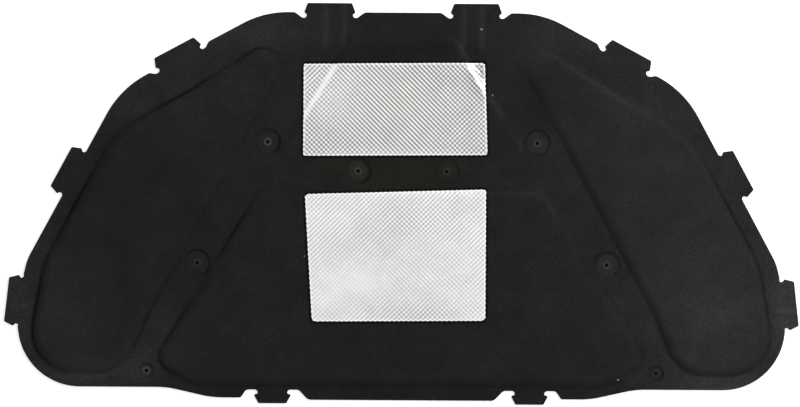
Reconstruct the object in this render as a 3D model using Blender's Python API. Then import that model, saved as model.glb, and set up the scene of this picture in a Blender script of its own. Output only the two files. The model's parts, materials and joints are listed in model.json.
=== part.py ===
"""Hood insulation pad: one moulded felt sheet with two embossed heat foils.

Metres. +Y points to the front of the car, +Z to the engine side, and the flat
hood side lies on Z = 0. Outlines are walked clockwise, seen from +Z. Those of
the pad and its middle fields are drawn for the right half and mirrored.
"""
import math
from collections import namedtuple

import bmesh
import bpy
from mathutils import Matrix, Vector

# Felt, measured up from the hood side
RIM_THICKNESS = 0.006
WING_RISE = 0.010
MIDDLE_RISE = 0.007
SHOULDER_WIDTH = 0.011
SEAT_FLOOR = 0.0032

# Edge of the pad, right half: x, y and fillet radius of each corner
FRONT_EDGE_Y = 0.300
FRONT_CORNER_X = 0.2225
FRONT_CORNER_RADIUS = 0.150
SIDE_CORNER = (0.4514, 0.1765, 0.156)
SIDE_BEND = (0.5996, -0.0984, 0.080)
REAR_SIDE_BEND = (0.6052, -0.122, 0.020)
REAR_SIDE_FOOT = (0.6145, -0.2055, 0.006)
REAR_CORNER_X = 0.6027
REAR_CORNER_RADIUS = 0.100
REAR_OUTER_Y = -0.3015
REAR_STEP_OUTER_X = 0.375
REAR_STEP_INNER_X = 0.303
REAR_STEP_RADIUS = 0.150
REAR_TAB_EDGE_Y = -0.3177
REAR_NOTCH_OUTER_X = 0.2565
REAR_NOTCH_OUTER_RADIUS = 0.004
REAR_NOTCH_INNER_X = 0.149
REAR_NOTCH_INNER_RADIUS = 0.012
REAR_EDGE_Y = -0.3207

# Tabs. Rises are heights above the foot of the neck.
Tab = namedtuple("Tab", "along shape depth notch ramp level")
TabShape = namedtuple("TabShape", "neck lip head neck_rise lip_rise height")
WIDE_TAB = TabShape(neck=0.074, lip=0.082, head=0.071, neck_rise=0.0055, lip_rise=0.009, height=0.02375)
REAR_TAB = TabShape(neck=0.0476, lip=0.0596, head=0.045, neck_rise=0.0065, lip_rise=0.0082, height=0.0218)
FRONT_TAB_ALONG = 0.1173
FRONT_TAB_DEPTH = 0.009
FRONT_NOTCH = 0.044
FRONT_RAMP = 0.056
FRONT_SIDE_TAB_ALONG = 0.1546
FRONT_SIDE_TAB_DEPTH = 0.0065
FRONT_SIDE_NOTCH = 0.045
FRONT_SIDE_RAMP = 0.0535
SIDE_TAB_ALONG = 0.1556
REAR_SIDE_TAB_ALONG = 0.0432
REAR_SIDE_TAB_DEPTH = 0.00125
REAR_TAB_ALONG = 0.0507
REAR_TAB_DEPTH = 0.0144
REAR_NOTCH = 0.042
TAB_ROOT_RADIUS = 0.0045
TAB_NECK_RADIUS = 0.001
TAB_LIP_RADIUS = 0.0016
TAB_HEAD_RADIUS = 0.0025
NOTCH_RADIUS = 0.008

# Raised fields, at the middle of their sloping shoulders: x, y and fillet radius
WING_FIELD = (
    (0.1528, 0.2906, 0.0265),
    (0.3330, 0.1750, 0.400),
    (0.4592, 0.1032, 0.130),
    (0.5700, -0.1030, 0.150),
    (0.6003, -0.2765, 0.064),
    (0.4475, -0.2765, 0.062),
    (0.4050, -0.1800, 0.200),
)
FRONT_FIELD_FRONT_Y = 0.262
FRONT_FIELD_REAR_Y = 0.066
FRONT_FIELD_FRONT_CORNER = (0.084, 0.012)
FRONT_FIELD_REAR_CORNER = (0.2043, 0.015)
REAR_FIELD_FRONT_Y = 0.013
REAR_FIELD_REAR_Y = -0.297
REAR_FIELD_FRONT_CORNER = (0.2265, 0.018)
REAR_FIELD_SIDE_BEND = (0.330, -0.158, 0.300)
REAR_FIELD_SIDE_CORNER = (0.394, -0.259, 0.024)
REAR_FIELD_REAR_CORNER = (0.335, 0.080)

# Stiffening ribs pressed into the front and rear-side tabs, on the right half: start and end
RIBS = (
    ((0.0975, 0.256), (0.0975, 0.307)),
    ((0.1265, 0.256), (0.1265, 0.307)),
    ((0.6025, -0.175), (0.6250, -0.175)),
)
RIB_WIDTH = 0.007
RIB_RISE = 0.0014
RIB_SHOULDER = 0.0056

# Clip seats, right half: x, y and radius of the pressed dish
CLIP_SEATS = (
    (0.216, 0.092, 0.0220),
    (0.328, -0.1025, 0.0225),
    (0.408, -0.2755, 0.0130),
    (0.071, 0.046, 0.0215),
)
SEAT_DRAFT = 0.0025
CLIP_HOLE_RADIUS = 0.003
COLLAR_RADIUS = 0.0064
COLLAR_RISE = 0.0009
COLLAR_DRAFT = 0.0009

# Heat foils, clockwise from the left front corner: x, y and corner radius
FRONT_FOIL = (
    (-0.1590, 0.2175, 0.003),
    (0.1316, 0.2203, 0.005),
    (0.1366, 0.0722, 0.005),
    (-0.1590, 0.0697, 0.003),
)
REAR_FOIL = (
    (-0.1559, 0.0092, 0.006),
    (0.1345, 0.0179, 0.004),
    (0.1345, -0.1927, 0.007),
    (-0.1434, -0.1951, 0.006),
)
FOIL_THICKNESS = 0.0004
FOIL_GAP = 0.0003

# Fineness of the facets
ARC_TOLERANCE = 0.00015
FIELD_STEPS = 5
RIB_STEPS = 3
SEAT_SEGMENTS = 28
SKIRT_DEPTH = 0.0005
LEAST_STRAIGHT = 0.0001

FRONT_TIP_Y = FRONT_EDGE_Y - FRONT_TAB_DEPTH + WIDE_TAB.height


def left_normal(direction):
    """The outward side of a clockwise outline."""
    return Vector((-direction.y, direction.x))


def tab_corners(tab, start, end):
    """Corners of one tab on the edge from start to end, as a neck, a lip and a tapering head."""
    edge = (end - start).normalized()
    origin = start + edge * tab.along
    ahead = Vector((math.copysign(1.0, edge.x), 0.0)) if tab.level else edge
    outward = left_normal(ahead)
    shape = tab.shape
    half = []
    if tab.ramp:
        half.append((tab.ramp, 0.0, NOTCH_RADIUS))
    if tab.notch:
        half.append((tab.notch, -tab.depth, NOTCH_RADIUS))
    foot = -tab.depth if tab.notch else 0.0
    half.append((shape.neck / 2, foot, TAB_ROOT_RADIUS))
    half.append((shape.neck / 2, shape.neck_rise - tab.depth, TAB_NECK_RADIUS))
    half.append((shape.lip / 2, shape.lip_rise - tab.depth, TAB_LIP_RADIUS))
    half.append((shape.head / 2, shape.height - tab.depth, TAB_HEAD_RADIUS))
    both = [(-u, v, r) for u, v, r in half] + [(u, v, r) for u, v, r in reversed(half)]
    return [(*(origin + ahead * u + outward * v), r) for u, v, r in both]


def pad_corners():
    """Corners of the pad's right edge, from the front centre to the rear centre."""
    edge = [
        (0.0, FRONT_EDGE_Y, 0.0),
        (FRONT_CORNER_X, FRONT_EDGE_Y, FRONT_CORNER_RADIUS),
        SIDE_CORNER,
        SIDE_BEND,
        REAR_SIDE_BEND,
        REAR_SIDE_FOOT,
        (REAR_CORNER_X, REAR_OUTER_Y, REAR_CORNER_RADIUS),
        (REAR_STEP_OUTER_X, REAR_OUTER_Y, REAR_STEP_RADIUS),
        (REAR_STEP_INNER_X, REAR_TAB_EDGE_Y, REAR_STEP_RADIUS),
        (REAR_NOTCH_OUTER_X, REAR_TAB_EDGE_Y, REAR_NOTCH_OUTER_RADIUS),
        (REAR_NOTCH_INNER_X, REAR_EDGE_Y, REAR_NOTCH_INNER_RADIUS),
        (0.0, REAR_EDGE_Y, 0.0),
    ]
    tabs = {
        0: Tab(FRONT_TAB_ALONG, WIDE_TAB, FRONT_TAB_DEPTH, FRONT_NOTCH, FRONT_RAMP, False),
        1: Tab(FRONT_SIDE_TAB_ALONG, WIDE_TAB, FRONT_SIDE_TAB_DEPTH, FRONT_SIDE_NOTCH, FRONT_SIDE_RAMP, False),
        2: Tab(SIDE_TAB_ALONG, WIDE_TAB, 0.0, None, None, False),
        4: Tab(REAR_SIDE_TAB_ALONG, WIDE_TAB, REAR_SIDE_TAB_DEPTH, None, None, False),
        9: Tab(REAR_TAB_ALONG, REAR_TAB, REAR_TAB_DEPTH, REAR_NOTCH, None, True),
    }
    corners = []
    for i, corner in enumerate(edge):
        corners.append(corner)
        if i in tabs:
            corners += tab_corners(tabs[i], Vector(corner[:2]), Vector(edge[i + 1][:2]))
    return corners


def corner_turn(before, corner, after):
    """The unit direction into a corner, the signed turn at it and the lengths of its two sides."""
    incoming = Vector(corner[:2]) - Vector(before[:2])
    outgoing = Vector(after[:2]) - Vector(corner[:2])
    turn = math.atan2(incoming.cross(outgoing), incoming.dot(outgoing))
    return incoming.normalized(), turn, incoming.length, outgoing.length


def fillet(corner, incoming, turn, tangent):
    """Points and outward normals of one rounded corner, on an arc that starts a tangent's length before it."""
    radius = tangent / math.tan(abs(turn) / 2)
    side = math.copysign(1.0, turn)
    centre = Vector(corner[:2]) - incoming * tangent + left_normal(incoming) * side * radius
    step = 2 * math.acos(max(0.5, 1 - ARC_TOLERANCE / radius))
    count = max(1, math.ceil(abs(turn) / step))
    result = []
    for i in range(count + 1):
        normal = Matrix.Rotation(turn * i / count, 2) @ left_normal(incoming)
        result.append((centre - normal * side * radius, normal))
    return result


def rounded(corners, closed):
    """Rounds the corners of an outline. Where two arcs would overlap, they share the side between them."""
    count = len(corners)
    inner = range(count) if closed else range(1, count - 1)
    turns = {i: corner_turn(corners[i - 1], corners[i], corners[(i + 1) % count]) for i in inner}
    wanted = {i: corners[i][2] * math.tan(abs(turns[i][1]) / 2) for i in inner}
    result = []
    for i in inner:
        incoming, turn, length_in, length_out = turns[i]
        share_in = (length_in - LEAST_STRAIGHT) / (wanted.get((i - 1) % count, 0.0) + wanted[i])
        share_out = (length_out - LEAST_STRAIGHT) / (wanted.get((i + 1) % count, 0.0) + wanted[i])
        result += fillet(corners[i], incoming, turn, wanted[i] * min(1.0, share_in, share_out))
    return result


def mirrored(outline):
    """The same outline on the other side of the pad, still clockwise."""
    flip = Vector((-1.0, 1.0))
    return [(point * flip, normal * flip) for point, normal in reversed(outline)]


def symmetric_outline(corners):
    """Rounded closed outline from right-half corners that start and end on the centre line."""
    right = rounded(corners, False)
    return right + mirrored(right)


def field_outlines():
    """Outlines and rises of the four raised fields: two wings and two trapezoids on the centre line."""
    wing = rounded(WING_FIELD, True)
    front = symmetric_outline((
        (0.0, FRONT_FIELD_FRONT_Y),
        (FRONT_FIELD_FRONT_CORNER[0], FRONT_FIELD_FRONT_Y, FRONT_FIELD_FRONT_CORNER[1]),
        (FRONT_FIELD_REAR_CORNER[0], FRONT_FIELD_REAR_Y, FRONT_FIELD_REAR_CORNER[1]),
        (0.0, FRONT_FIELD_REAR_Y),
    ))
    rear = symmetric_outline((
        (0.0, REAR_FIELD_FRONT_Y),
        (REAR_FIELD_FRONT_CORNER[0], REAR_FIELD_FRONT_Y, REAR_FIELD_FRONT_CORNER[1]),
        REAR_FIELD_SIDE_BEND,
        REAR_FIELD_SIDE_CORNER,
        (REAR_FIELD_REAR_CORNER[0], REAR_FIELD_REAR_Y, REAR_FIELD_REAR_CORNER[1]),
        (0.0, REAR_FIELD_REAR_Y),
    ))
    return [(wing, WING_RISE), (mirrored(wing), WING_RISE), (front, MIDDLE_RISE), (rear, MIDDLE_RISE)]


def rib_outlines():
    """Outlines of the round-ended ribs, on both sides."""
    half = RIB_WIDTH / 2
    result = []
    for start, end in RIBS:
        first = Vector(start)
        last = Vector(end)
        ahead = (last - first).normalized()
        side = left_normal(ahead)
        corners = [
            (*(first - ahead * half + side * half), half),
            (*(last + ahead * half + side * half), half),
            (*(last + ahead * half - side * half), half),
            (*(first - ahead * half - side * half), half),
        ]
        outline = rounded(corners, True)
        result += [outline, mirrored(outline)]
    return result


def add_raised(bm, outline, rise, shoulder, steps):
    """Lofts a raised area whose shoulder leaves the rim at a crease and rounds off to a flat top."""
    slope = rise * math.pi / 2 / shoulder
    levels = [(shoulder / 2 + SKIRT_DEPTH / slope, RIM_THICKNESS - SKIRT_DEPTH)]
    for i in range(steps + 1):
        part = i / steps
        levels.append((shoulder * (0.5 - part), RIM_THICKNESS + rise * math.sin(part * math.pi / 2)))
    loops = []
    for outset, height in levels:
        loops.append([bm.verts.new((*(point + normal * outset), height)) for point, normal in outline])
    bm.faces.new(loops[0])
    bm.faces.new(loops[-1])
    count = len(outline)
    for low, high in zip(loops, loops[1:]):
        for i in range(count):
            j = (i + 1) % count
            bm.faces.new((low[i], low[j], high[j], high[i]))


def add_clip_cutter(bm, x, y, seat_radius):
    """Turned cutter: a dished seat with a low collar in its middle and the clip's hole through it."""
    above = RIM_THICKNESS + WING_RISE * 2
    below = -RIM_THICKNESS
    rim_run = SEAT_DRAFT * (above - SEAT_FLOOR) / (RIM_THICKNESS - SEAT_FLOOR)
    profile = (
        (CLIP_HOLE_RADIUS, below),
        (CLIP_HOLE_RADIUS, SEAT_FLOOR + COLLAR_RISE),
        (COLLAR_RADIUS, SEAT_FLOOR + COLLAR_RISE),
        (COLLAR_RADIUS + COLLAR_DRAFT, SEAT_FLOOR),
        (seat_radius - SEAT_DRAFT, SEAT_FLOOR),
        (seat_radius - SEAT_DRAFT + rim_run, above),
    )
    rings = []
    for radius, height in profile:
        ring = []
        for i in range(SEAT_SEGMENTS):
            angle = math.tau * i / SEAT_SEGMENTS
            ring.append(bm.verts.new((x + radius * math.cos(angle), y + radius * math.sin(angle), height)))
        rings.append(ring)
    bm.faces.new(rings[0])
    bm.faces.new(rings[-1])
    for low, high in zip(rings, rings[1:]):
        for i in range(SEAT_SEGMENTS):
            j = (i + 1) % SEAT_SEGMENTS
            bm.faces.new((low[i], low[j], high[j], high[i]))


def add_prism(bm, outline, bottom, top):
    """Extrudes an outline from one height to another."""
    face = bm.faces.new([bm.verts.new((*point, bottom)) for point, _ in outline])
    grown = bmesh.ops.extrude_face_region(bm, geom=[face])
    verts = [item for item in grown["geom"] if isinstance(item, bmesh.types.BMVert)]
    bmesh.ops.translate(bm, verts=verts, vec=(0.0, 0.0, top - bottom))


def make_object(name, bm):
    """Turns a bmesh into an object whose origin is the middle of the pad's length, on its hood side."""
    bmesh.ops.remove_doubles(bm, verts=bm.verts[:], dist=1e-6)
    bmesh.ops.recalc_face_normals(bm, faces=bm.faces[:])
    mesh = bpy.data.meshes.new(name)
    bm.to_mesh(mesh)
    bm.free()
    obj = bpy.data.objects.new(name, mesh)
    obj.location.y = -middle_y()
    bpy.context.scene.collection.objects.link(obj)
    return obj


def middle_y():
    """Halfway between the foremost and rearmost edges, which are both on tabs."""
    rear_edge = Vector((REAR_NOTCH_INNER_X, REAR_EDGE_Y)) - Vector((REAR_NOTCH_OUTER_X, REAR_TAB_EDGE_Y))
    rear_foot_y = REAR_TAB_EDGE_Y + rear_edge.normalized().y * REAR_TAB_ALONG
    rear_tip_y = rear_foot_y + REAR_TAB_DEPTH - REAR_TAB.height
    return (FRONT_TIP_Y + rear_tip_y) / 2


def make_guide(name, bm):
    """An object that only shapes others."""
    guide = make_object(name, bm)
    guide.hide_render = True
    guide.display_type = "WIRE"
    return guide


def combine(target, guide, operation):
    """Adds one Boolean to the target."""
    modifier = target.modifiers.new(guide.name, "BOOLEAN")
    modifier.operation = operation
    modifier.solver = "EXACT"
    modifier.object = guide


def apply_modifiers(obj):
    """Replaces an object's mesh by what its modifiers give."""
    depsgraph = bpy.context.evaluated_depsgraph_get()
    mesh = bpy.data.meshes.new_from_object(obj.evaluated_get(depsgraph))
    obj.modifiers.clear()
    obj.data = mesh


def make_material(name, color, roughness, metallic):
    material = bpy.data.materials.new(name)
    material.use_nodes = True
    shader = material.node_tree.nodes["Principled BSDF"]
    shader.inputs["Base Color"].default_value = (*color, 1.0)
    shader.inputs["Roughness"].default_value = roughness
    shader.inputs["Metallic"].default_value = metallic
    return material


def make_pad():
    """The felt sheet: a die-cut rim, raised fields and ribs, and pressed clip seats with their holes."""
    bm = bmesh.new()
    add_prism(bm, symmetric_outline(pad_corners()), 0.0, RIM_THICKNESS)
    pad = make_object("felt_pad", bm)
    bm = bmesh.new()
    for outline, rise in field_outlines():
        add_raised(bm, outline, rise, SHOULDER_WIDTH, FIELD_STEPS)
    combine(pad, make_guide("field_forms", bm), "UNION")
    bm = bmesh.new()
    for outline in rib_outlines():
        add_raised(bm, outline, RIB_RISE, RIB_SHOULDER, RIB_STEPS)
    combine(pad, make_guide("rib_forms", bm), "UNION")
    bm = bmesh.new()
    for x, y, radius in CLIP_SEATS:
        add_clip_cutter(bm, x, y, radius)
        add_clip_cutter(bm, -x, y, radius)
    combine(pad, make_guide("clip_cutters", bm), "DIFFERENCE")
    apply_modifiers(pad)
    pad.data.materials.clear()
    pad.data.materials.append(make_material("needled_felt", (0.017, 0.017, 0.018), 0.95, 0.0))
    return pad


def make_lifted_pad(name, pad, lift):
    """A copy of the pad, raised, to shape what lies on it."""
    guide = bpy.data.objects.new(name, pad.data)
    guide.location = pad.location + Vector((0.0, 0.0, lift))
    guide.hide_render = True
    guide.display_type = "WIRE"
    bpy.context.scene.collection.objects.link(guide)
    return guide


def make_foil(name, corners, underside, topside, material):
    """A thin sheet that follows the felt below it: its outline, cut from between two raised pads."""
    bm = bmesh.new()
    add_prism(bm, rounded(corners, True), RIM_THICKNESS / 2, RIM_THICKNESS + WING_RISE * 2)
    foil = make_object(name, bm)
    combine(foil, topside, "INTERSECT")
    combine(foil, underside, "DIFFERENCE")
    apply_modifiers(foil)
    foil.data.materials.clear()
    foil.data.materials.append(material)
    return foil


def main():
    for obj in list(bpy.data.objects):
        bpy.data.objects.remove(obj)
    pad = make_pad()
    underside = make_lifted_pad("foil_underside_form", pad, FOIL_GAP)
    topside = make_lifted_pad("foil_topside_form", pad, FOIL_GAP + FOIL_THICKNESS)
    aluminium = make_material("embossed_aluminium", (0.78, 0.78, 0.78), 0.35, 1.0)
    make_foil("front_heat_foil", FRONT_FOIL, underside, topside, aluminium)
    make_foil("rear_heat_foil", REAR_FOIL, underside, topside, aluminium)


main()
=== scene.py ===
"""Hood insulation pad: one moulded sheet of black needled felt with two embossed aluminium heat foils.

Metres, in the frame of the CAD part: +X to the right, +Y to the front of the car, +Z to the engine. Outlines are walked
clockwise, seen from +Z, and are measured from the pad's own middle, MIDDLE_SHIFT behind the frame's.
"""
import json

import bpy
import numpy as np
from bpy.props import FloatProperty, FloatVectorProperty, PointerProperty
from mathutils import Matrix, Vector
from mathutils.geometry import delaunay_2d_cdt

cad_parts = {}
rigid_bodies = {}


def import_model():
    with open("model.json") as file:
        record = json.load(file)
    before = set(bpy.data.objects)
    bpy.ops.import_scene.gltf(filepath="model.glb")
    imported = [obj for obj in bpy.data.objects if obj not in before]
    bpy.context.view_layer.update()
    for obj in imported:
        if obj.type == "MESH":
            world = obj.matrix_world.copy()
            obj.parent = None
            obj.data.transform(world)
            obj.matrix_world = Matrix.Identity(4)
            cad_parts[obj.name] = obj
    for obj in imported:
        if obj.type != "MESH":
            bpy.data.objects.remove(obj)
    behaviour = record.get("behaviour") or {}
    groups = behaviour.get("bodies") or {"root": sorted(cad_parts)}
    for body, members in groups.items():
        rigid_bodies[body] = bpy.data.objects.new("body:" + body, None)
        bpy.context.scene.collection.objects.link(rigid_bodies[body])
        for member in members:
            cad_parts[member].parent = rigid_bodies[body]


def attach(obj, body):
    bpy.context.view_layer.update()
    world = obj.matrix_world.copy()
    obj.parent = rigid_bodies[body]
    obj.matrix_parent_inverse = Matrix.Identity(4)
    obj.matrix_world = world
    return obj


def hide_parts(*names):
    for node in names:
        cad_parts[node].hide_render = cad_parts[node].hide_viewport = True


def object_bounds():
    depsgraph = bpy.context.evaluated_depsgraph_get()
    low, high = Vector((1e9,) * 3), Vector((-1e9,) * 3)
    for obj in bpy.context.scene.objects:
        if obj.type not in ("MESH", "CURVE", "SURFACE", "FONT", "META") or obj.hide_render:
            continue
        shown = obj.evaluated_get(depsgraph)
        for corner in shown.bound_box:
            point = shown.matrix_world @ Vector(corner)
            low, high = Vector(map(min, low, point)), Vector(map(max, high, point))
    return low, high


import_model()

bl_info = {
    "name": "Hood Insulation Pad",
    "version": (1, 0, 0),
    "blender": (4, 5, 0),
    "location": "3D View > Sidebar > Hood Pad",
    "description": "Moulded felt hood pad with embossed heat foils, around its CAD frame",
    "category": "Add Mesh",
}

CAD_BOX = [list(corner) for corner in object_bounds()]

# Edge of the pad, right half, from front to rear: x, y and fillet radius of each corner
FRONT_EDGE_Y = 0.300
PAD_EDGE = (
    (0.0, FRONT_EDGE_Y, 0.0),
    (0.2225, FRONT_EDGE_Y, 0.150),
    (0.4514, 0.1765, 0.156),
    (0.5996, -0.0984, 0.080),
    (0.6052, -0.122, 0.020),
    (0.6145, -0.2055, 0.006),
    (0.6027, -0.3015, 0.100),
    (0.375, -0.3015, 0.150),
    (0.303, -0.3177, 0.150),
    (0.2565, -0.3177, 0.004),
    (0.149, -0.3207, 0.012),
    (0.0, -0.3207, 0.0),
)
# Tabs by the corner before them: distance along the edge, depth of the foot below it, half notch and half ramp
# beside the tab where it has them, and whether it stands square to the pad instead of to its edge
TABS = {
    0: (0.1173, 0.009, 0.044, 0.056, False),
    1: (0.1546, 0.0065, 0.045, 0.0535, False),
    2: (0.1556, 0.0, None, None, False),
    4: (0.0432, 0.00125, None, None, False),
    9: (0.0507, 0.0144, 0.042, None, True),
}
# Half of a tab's side from its foot: half width, rise and fillet radius of its neck, lip and head
WIDE_TAB = ((0.037, 0.0, 0.0045), (0.037, 0.0055, 0.001), (0.041, 0.009, 0.0016), (0.0355, 0.02375, 0.0025))
REAR_TAB = ((0.0238, 0.0, 0.0045), (0.0238, 0.0065, 0.001), (0.0298, 0.0082, 0.0016), (0.0225, 0.0218, 0.0025))
NOTCH_RADIUS = 0.008

# Raised fields at the middle of their shoulders: x, y and fillet radius. The last two are right halves.
WING_FIELD = (
    (0.1528, 0.2906, 0.0265), (0.3330, 0.1750, 0.400), (0.4592, 0.1032, 0.130), (0.5700, -0.1030, 0.150),
    (0.6003, -0.2765, 0.064), (0.4475, -0.2765, 0.062), (0.4050, -0.1800, 0.200),
)
FRONT_FIELD = ((0.084, 0.262, 0.012), (0.2043, 0.066, 0.015))
REAR_FIELD = (
    (0.2265, 0.013, 0.018), (0.330, -0.158, 0.300), (0.394, -0.259, 0.024), (0.335, -0.297, 0.080),
)
# Stiffening ribs in the tabs, right half: start and end
RIBS = (((0.0955, 0.247), (0.0955, 0.307)), ((0.1255, 0.247), (0.1255, 0.307)), ((0.6025, -0.175), (0.625, -0.175)))
RIB_HALF_WIDTH = 0.0035
RIB_SHOULDER = 0.0056
# Clip seats: x, y, radius of the dish, how light the felt is rubbed round its hole, how far out that reaches, and how
# much lighter the rest of the dish is
CLIP_SEATS = (
    (0.216, 0.092, 0.0220, 0.18, 0.0064, 0.38), (-0.216, 0.092, 0.0220, 0.32, 0.0062, 0.22),
    (0.328, -0.1025, 0.0225, 0.15, 0.0064, 0.22), (-0.328, -0.1025, 0.0225, 0.10, 0.0064, 0.08),
    (0.408, -0.2755, 0.0130, 0.06, 0.0066, 0.00), (-0.408, -0.2755, 0.0130, 0.26, 0.0066, 0.10),
    (0.071, 0.046, 0.0215, 0.13, 0.0060, 0.10), (-0.071, 0.046, 0.0215, 0.17, 0.0064, 0.50),
)
SEAT_DRAFT = 0.0025
CLIP_HOLE_RADIUS = 0.003
COLLAR_RADIUS = 0.0064
COLLAR_RISE = 0.0009

# Corners of the foils, clockwise from the left front one: x, y and radius
FRONT_FOIL = ((-0.1590, 0.2175, 0.003), (0.1316, 0.2203, 0.005), (0.1366, 0.0722, 0.005), (-0.1590, 0.0697, 0.003))
REAR_FOIL = ((-0.1559, 0.0092, 0.006), (0.1345, 0.0179, 0.004), (0.1345, -0.1927, 0.007), (-0.1434, -0.1951, 0.006))
# How strongly the foils' two sets of embossed lines stand out: falling lines first, then rising ones. They set both the
# embossing's depth and its painted shade. Each patch adds to both: x, y, half width, half length, more falling, more
# rising.
FRONT_FOIL_LINES = (0.85, 0.30, (
    (0.105, 0.105, 0.035, 0.075, -0.42, 0.44), (-0.120, 0.090, 0.060, 0.030, -0.10, 0.25),
    (-0.110, 0.160, 0.045, 0.060, -0.30, 0.08), (0.000, 0.140, 0.080, 0.060, 0.20, -0.12),
    (0.060, 0.210, 0.060, 0.030, 0.00, 0.15), (0.000, 0.072, 0.120, 0.008, -0.45, 0.20),
))
REAR_FOIL_LINES = (0.13, 0.46, (
    (-0.090, -0.040, 0.060, 0.050, -0.05, 0.12), (0.010, -0.030, 0.060, 0.035, 0.26, 0.06),
    (0.090, -0.020, 0.040, 0.045, 0.15, 0.12), (0.020, -0.115, 0.060, 0.035, 0.20, -0.30),
    (-0.110, -0.150, 0.045, 0.035, 0.04, -0.30), (0.095, -0.150, 0.040, 0.040, 0.18, -0.22),
    (0.040, -0.185, 0.060, 0.014, 0.22, 0.04), (-0.060, -0.125, 0.050, 0.030, -0.06, -0.28),
))
# Where the foils' painted groove shade is deeper: x, y, half width, half length, how much deeper
FOIL_SHADE_PATCHES = (
    (-0.020, -0.130, 0.110, 0.080, 0.13), (-0.110, -0.160, 0.050, 0.050, 0.06), (-0.020, -0.060, 0.160, 0.100, 0.01),
    (0.124, 0.194, 0.020, 0.036, 0.22), (0.080, -0.040, 0.060, 0.050, -0.06),
)
# Painted shade where shade falls in the crease at a field's foot: x, y, half width, half length, how dark
FOOT_SHADE = (
    (0.530, -0.020, 0.060, 0.110, 0.75), (0.590, -0.170, 0.030, 0.110, 0.62), (0.420, -0.235, 0.035, 0.060, 0.65),
    (-0.420, -0.190, 0.025, 0.070, 0.60), (-0.590, -0.170, 0.030, 0.120, 1.25), (-0.530, 0.010, 0.060, 0.090, 1.25),
    (-0.350, 0.160, 0.090, 0.060, 1.10), (0.000, -0.300, 0.400, 0.016, 0.15), (-0.267, -0.050, 0.040, 0.070, 0.90),
    (-0.360, -0.200, 0.040, 0.070, 0.80), (-0.500, -0.280, 0.080, 0.020, 0.25), (0.500, -0.280, 0.080, 0.020, 0.20),
    (-0.238, 0.236, 0.036, 0.028, 0.85), (-0.385, -0.265, 0.020, 0.025, 0.60),
    (0.300, 0.020, 0.045, 0.060, 0.20), (0.360, -0.100, 0.040, 0.060, 0.25),
)
# The same painted shade on the walls of the clip seats
SEAT_WALL_SHADE = (
    (-0.195, 0.088, 0.012, 0.018, 0.75), (0.200, 0.106, 0.016, 0.016, 0.55), (-0.312, -0.116, 0.012, 0.018, 0.80),
    (0.312, -0.090, 0.014, 0.018, 0.55), (-0.055, 0.034, 0.014, 0.014, 0.60), (-0.335, -0.082, 0.020, 0.010, 0.45),
    (0.418, -0.278, 0.009, 0.012, 0.70), (-0.408, -0.2755, 0.016, 0.016, 0.20),
)
# Painted light on slopes that face the lamps, a negative one painted shade: x, y, half width, half length,
# how much lighter
SLOPE_LIGHT = (
    (0.310, 0.188, 0.120, 0.080, 0.44), (0.094, 0.238, 0.022, 0.024, 0.50), (0.150, 0.150, 0.020, 0.020, 0.35),
    (0.190, 0.092, 0.014, 0.014, 0.40), (0.222, -0.015, 0.030, 0.035, 0.34), (0.180, 0.016, 0.050, 0.012, 0.34),
    (0.240, 0.130, 0.028, 0.045, 0.22), (0.285, 0.040, 0.028, 0.045, 0.26), (0.330, -0.050, 0.026, 0.045, 0.26),
    (0.372, -0.140, 0.024, 0.045, 0.26), (0.295, -0.125, 0.026, 0.045, -0.22),
)
# Where heat has left the felt faintly olive: x, y, half width, half length, how much
SCORCHED = (
    (0.000, -0.140, 0.260, 0.170, 1.00), (-0.020, 0.060, 0.200, 0.060, 0.80), (0.020, -0.310, 0.360, 0.030, 0.40),
)
# Where the felt is painted lighter, partly looser pile and partly painted light where the lamps fall most, a negative
# one painted shade: x, y, half width, half length, how much lighter
PILE_AND_LIGHT = (
    (0.500, -0.190, 0.120, 0.150, 0.92), (0.622, -0.160, 0.030, 0.130, 1.00), (0.400, 0.080, 0.170, 0.150, 0.38),
    (-0.520, -0.200, 0.110, 0.110, 0.50), (-0.622, -0.165, 0.030, 0.080, 0.50), (-0.250, 0.270, 0.120, 0.040, 0.62),
    (0.270, 0.265, 0.110, 0.040, 0.45), (-0.425, -0.262, 0.036, 0.030, 0.45), (0.470, 0.200, 0.080, 0.060, 0.25),
    (-0.445, 0.190, 0.080, 0.060, 0.40), (-0.600, -0.060, 0.040, 0.120, 0.35), (0.540, -0.300, 0.090, 0.016, 0.60),
    (-0.500, -0.285, 0.090, 0.026, 0.75), (-0.385, -0.215, 0.022, 0.060, 0.45), (-0.404, -0.242, 0.007, 0.007, 0.45),
    (-0.300, 0.120, 0.140, 0.110, 0.14), (-0.240, -0.190, 0.110, 0.090, 0.12), (0.240, -0.190, 0.110, 0.090, 0.06),
    (0.000, 0.240, 0.120, 0.020, -0.28), (0.212, 0.150, 0.026, 0.060, -0.22), (-0.550, 0.060, 0.060, 0.080, 0.15),
    (0.520, -0.285, 0.080, 0.014, 0.50), (-0.448, -0.195, 0.026, 0.070, -0.25), (0.000, -0.020, 0.150, 0.260, -0.09),
    (-0.330, 0.160, 0.100, 0.040, 0.12), (0.000, -0.312, 0.300, 0.014, -0.10), (-0.320, -0.210, 0.060, 0.040, 0.10),
    (-0.330, 0.215, 0.090, 0.026, 0.13),
)
# Lint caught in the pile: x, y, size of the tuft
LINT = (
    (0.1255, 0.2735, 0.0021), (0.1443, 0.1685, 0.0012), (0.3470, -0.2858, 0.0014), (-0.1553, -0.0905, 0.0009),
)
LINT_FIBRES = 5
LINT_STEPS = 14
LINT_HALF_THICKNESS = 0.00006

# Painted shade: half widths of the painted shade in the creases at the feet of shoulders and of seat walls, how far
# outside the foils the painted shadow line lies and its half width, and the darkest that the painted shade adds up to
FOOT_SHADE_WIDTH = 0.0028
SEAT_SHADE_WIDTH = 0.0019
FOIL_SHADOW_OUTSIDE = 0.0021
FOIL_SHADOW_WIDTH = 0.0012
DARKEST_SHADE = 1.3
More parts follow.
